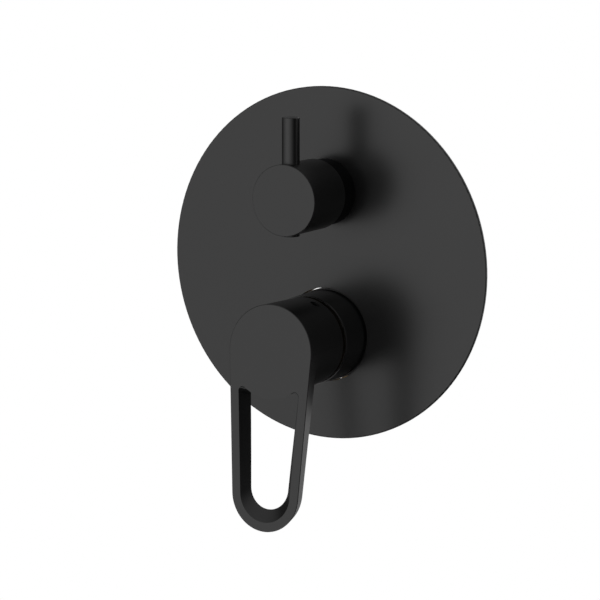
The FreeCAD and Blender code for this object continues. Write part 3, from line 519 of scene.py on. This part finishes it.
def buildCastBrass(look, ports):
    material, tree, surface = newSurface("castBrass")
    paintedShade, machined, rings, groove = bodyMasks(tree, look, ports)
    grain = useGroup(tree, grainGroup, {"Fine Scale": look["sandScale"],
                                        "Slow Scale": look["lumpScale"]})
    edge = useGroup(tree, edgeGroup, {"Width": look["edgeWidth"]})

    colour = mixColour(tree, grain["Tone"], look["skinDeep"], look["skin"])
    colour = mixColour(tree, machined, colour, look["turned"])
    # Edges go towards bright turned brass: partly rubbed wear, partly a painted highlight
    wearAndSheen = mathNode(tree, "MULTIPLY", edge["Mask"], look["edgeWearAndSheen"])
    colour = mixColour(tree, wearAndSheen, colour, look["turned"])
    # Painted shade: near-black over the bosses' fronts, standing in for the shade in the gap round
    # the tube
    colour = mixColour(tree, paintedShade, colour, look["paintedShadeColour"])
    shade = mathNode(tree, "MULTIPLY", groove, look["grooveShade"])
    colour = mixColour(tree, shade, colour, look["skinDeep"])
    tree.links.new(colour, surface.inputs["Base Color"])

    castRough = remap(tree, grain["Tone"], (0, 1), look["skinRough"])
    turnedRough = remap(tree, grain["Height"], look["sandRange"], look["turnedRough"])
    tree.links.new(mixLevel(tree, machined, castRough, turnedRough), surface.inputs["Roughness"])
    surface.inputs["Metallic"].default_value = 1.0

    cast = mathNode(tree, "SUBTRACT", 1.0, machined)
    sand = mathNode(tree, "MULTIPLY", grain["Height"], look["sandDepth"])
    lumps = mathNode(tree, "MULTIPLY", grain["Tone"], look["lumpDepth"])
    height = mathNode(tree, "MULTIPLY", mathNode(tree, "ADD", sand, lumps), cast)
    height = mathNode(tree, "ADD", height, mathNode(tree, "MULTIPLY", rings, look["ringDepth"]))
    addBump(tree, surface, height, 1.0)
    return material


# Everything else gets its own finish too: steel, brass, plastic, ceramic, rubber and foam

plainFinish = {
    "driftScale": 60.0,
    "edgeWidth": 0.0006,
    "edgeWearAndSheen": 1.25,
    "kinds": {
        "turnedSteel": {"colour": (0.6, 0.6, 0.61), "deep": (0.45, 0.45, 0.46),
                        "rough": (0.34, 0.2), "grain": 2400.0, "depth": 0.00001, "metallic": 1.0},
        "turnedBrass": {"colour": (0.66, 0.5, 0.27), "deep": (0.5, 0.36, 0.18),
                        "rough": (0.36, 0.22), "grain": 2000.0, "depth": 0.00001, "metallic": 1.0},
        "whitePlastic": {"colour": (0.72, 0.72, 0.68), "deep": (0.62, 0.62, 0.58),
                         "rough": (0.52, 0.4), "grain": 1500.0, "depth": 0.00002, "metallic": 0.0},
        "paleCeramic": {"colour": (0.8, 0.79, 0.76), "deep": (0.74, 0.73, 0.7),
                        "rough": (0.22, 0.12), "grain": 1800.0, "depth": 0.000004, "metallic": 0.0},
        "blackPlastic": {"colour": (0.012, 0.012, 0.0125), "deep": (0.008, 0.008, 0.0084),
                         "rough": (0.55, 0.42), "grain": 1500.0, "depth": 0.00002, "metallic": 0.0},
        "blackSteel": {"colour": (0.03, 0.03, 0.032), "deep": (0.015, 0.015, 0.016),
                       "rough": (0.45, 0.3), "grain": 2000.0, "depth": 0.000008, "metallic": 1.0},
        "blackBrass": {"colour": (0.05, 0.043, 0.035), "deep": (0.022, 0.019, 0.016),
                       "rough": (0.48, 0.34), "grain": 1200.0, "depth": 0.00002, "metallic": 1.0},
        "sealRubber": {"colour": (0.02, 0.02, 0.021), "deep": (0.012, 0.012, 0.013),
                       "rough": (0.66, 0.5), "grain": 1500.0, "depth": 0.00002, "metallic": 0.0},
        "darkFoam": {"colour": (0.05, 0.05, 0.052), "deep": (0.02, 0.02, 0.021),
                     "rough": (0.95, 0.8), "grain": 900.0, "depth": 0.00025, "metallic": 0.0},
    },
}


def buildPlainFinish(name, look, kind):
    material, tree, surface = newSurface(name)
    grain = useGroup(tree, grainGroup, {"Fine Scale": kind["grain"],
                                        "Slow Scale": look["driftScale"]})
    edge = useGroup(tree, edgeGroup, {"Width": look["edgeWidth"]})
    colour = mixColour(tree, grain["Tone"], kind["deep"], kind["colour"])
    # Lighter along sharp edges: partly wear, partly a painted highlight
    brighter = tuple(min(1.0, look["edgeWearAndSheen"] * part) for part in kind["colour"])
    colour = mixColour(tree, edge["Mask"], colour, brighter)
    tree.links.new(colour, surface.inputs["Base Color"])
    rough = remap(tree, grain["Tone"], (0, 1), kind["rough"])
    tree.links.new(rough, surface.inputs["Roughness"])
    surface.inputs["Metallic"].default_value = kind["metallic"]
    addBump(tree, surface, grain["Height"], kind["depth"])
    return material


finishes = {"castBrass": buildCastBrass(castBrassLook, pipePorts)}
for name, kind in plainFinish["kinds"].items():
    finishes[name] = buildPlainFinish(name, plainFinish, kind)
for name, kind in blackPaint["kinds"].items():
    finishes[name] = buildBlackPaint(name, blackPaint, kind)


# Each node takes the finish of its CAD material, unless it is listed by its own name

finishOfSlot = {
    "black_paint": "leverBlackPaint",
    "brass": "turnedBrass",
    "steel": "turnedSteel",
    "plastic": "whitePlastic",
    "dark_plastic": "blackPlastic",
    "dark_brass": "blackBrass",
    "disc_ceramic": "paleCeramic",
    "seal_rubber": "sealRubber",
    "foam": "darkFoam",
}
finishOfNode = {
    "valve_body": "castBrass",
    "cover_plate": "plateBlackPaint",
    "sleeve": "plateBlackPaint",
    "diverter_collar": "collarBlackPaint",
    "handle_screw": "blackSteel",
    "knob_screw": "blackSteel",
}
for part in frame["record"]["subparts"]:
    finish = finishOfNode.get(part["node"], finishOfSlot[part["material_slot"]])
    for slot in nodes[part["node"]].material_slots:
        slot.material = finishes[finish]
print("finishes given:", len(finishes))


# Port threads. The body's own skin is taken as it is, but for the smooth wall of each port, which
# gives way to a threaded one. Lengths are in metres, and a point counts as lying on the port's wall
# or at one of its ends when it is no further off than "near"

portThread = {
    "boreRadius": 0.0093,
    "length": 0.014,
    "pitch": 0.001814,
    "height": 0.00105,
    "rows": 100,
    "leadIn": 0.0008,
    "runOut": 0.0022,
    "sharpAngle": 32,
    "near": 1e-5,
    "mergeWithin": 1e-6,
    "wallSlope": 0.2,
}


def skinOf(node, look):
    # The node's triangles, which are loose, joined where their corners meet
    shell = bmesh.new()
    shell.from_mesh(node.data)
    bmesh.ops.remove_doubles(shell, verts=shell.verts, dist=look["mergeWithin"])
    joined = bpy.data.meshes.new("joinedSkin")
    shell.to_mesh(joined)
    shell.free()
    points = np.empty(len(joined.vertices) * 3)
    joined.vertices.foreach_get("co", points)
    triangles = np.empty(len(joined.loops), int)
    joined.loops.foreach_get("vertex_index", triangles)
    bpy.data.meshes.remove(joined)
    return points.reshape(-1, 3), triangles.reshape(-1, 3)


def threadRadius(down, turn, look):
    # The bore's radius and, on top, the thread's height times a wave from 0 to 1. The wave turns
    # over once a pitch, moves on by one pitch in a turn, and dies away at both ends
    wave = 0.5 - 0.5 * np.cos(2 * math.pi * down / look["pitch"] + turn)
    fadeIn = np.clip(down / look["leadIn"], 0, 1)
    fadeOut = np.clip((look["length"] - down) / look["runOut"], 0, 1)
    return look["boreRadius"] + look["height"] * wave * fadeIn * fadeOut


def portParts(points, triangles, port, look):
    # Tells the triangles of a port's smooth wall, and gives the points of the circles at its mouth
    # and its foot in order of angle, point by point beside each other, with the mouth's angles
    axis = np.array(port["axis"], float)
    away = points - np.array(port["mouth"])
    depth = -(away @ axis)
    across = away + depth[:, None] * axis
    onBore = np.abs(np.linalg.norm(across, axis=1) - look["boreRadius"]) < look["near"]
    onWall = onBore & (depth > -look["near"]) & (depth < look["length"] + look["near"])
    corners = points[triangles]
    normal = np.cross(corners[:, 1] - corners[:, 0], corners[:, 2] - corners[:, 0])
    steep = np.abs(normal @ axis) < look["wallSlope"] * np.linalg.norm(normal, axis=1)
    smoothWall = onWall[triangles].all(axis=1) & steep

    sideways = np.roll(axis, 1)
    angle = np.arctan2(across @ np.cross(axis, sideways), across @ sideways)
    mouth, foot = (np.flatnonzero(onWall & (np.abs(depth - end) < look["near"]))
                   for end in (0, look["length"]))
    mouth = mouth[np.argsort(angle[mouth])]
    foot = foot[np.argsort(angle[foot])]
    if len(mouth) == len(foot) > 0:
        apart = np.abs(np.exp(1j * angle[foot]) - np.exp(1j * angle[mouth[0]]))
        foot = np.roll(foot, -apart.argmin())
    return smoothWall, mouth, foot, angle[mouth]


def threadedWall(mouth, foot, angle, port, look, firstNew):
    # A grid of rows down the port and columns round it. A column stands at each point of the circle
    # at the mouth, and its first and last quad end at points that the skin has
    axis = np.array(port["axis"], float)
    sideways = np.roll(axis, 1)
    upwards = np.cross(axis, sideways)
    down = np.linspace(0, look["length"], look["rows"] + 1)[1:-1, None]
    turn = angle[None, :]
    radius = threadRadius(down, turn, look)[:, :, None]
    outwards = np.cos(turn)[:, :, None] * sideways + np.sin(turn)[:, :, None] * upwards
    grid = np.array(port["mouth"]) - down[:, :, None] * axis + radius * outwards
    numbers = firstNew + np.arange(radius.size).reshape(radius.shape[:2])
    rows = np.vstack((mouth[None, :], numbers, foot[None, :]))
    beside = np.roll(rows, -1, axis=1)
    quads = np.stack((rows[:-1], beside[:-1], beside[1:], rows[1:]), axis=-1).reshape(-1, 4)
    return grid.reshape(-1, 3), quads


def buildThreadedBody(look, ports):
    points, triangles = skinOf(nodes["valve_body"], look)
    kept = np.ones(len(triangles), bool)
    faces = []
    for port in ports:
        smoothWall, mouth, foot, angle = portParts(points, triangles, port, look)
        if len(mouth) != len(foot) or len(mouth) == 0:
            print("port left smooth, its two circles don't match:", port["mouth"])
            continue
        kept &= ~smoothWall
        grid, quads = threadedWall(mouth, foot, angle, port, look, len(points))
        points = np.concatenate((points, grid))
        faces += quads.tolist()
    mesh = bpy.data.meshes.new("threadedBody")
    mesh.from_pydata(points.tolist(), [], triangles[kept].tolist() + faces)
    mesh.polygons.foreach_set("use_smooth", np.ones(len(mesh.polygons), bool))
    mesh.set_sharp_from_angle(angle=math.radians(look["sharpAngle"]))
    mesh.materials.append(finishes["castBrass"])
    piece = bpy.data.objects.new("threadedBody", mesh)
    scene.collection.objects.link(piece)
    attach(piece, "wall_unit")
    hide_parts("valve_body")
    return piece


threadedBody = buildThreadedBody(portThread, pipePorts)
print("ports threaded:", len(threadedBody.data.polygons), "faces")
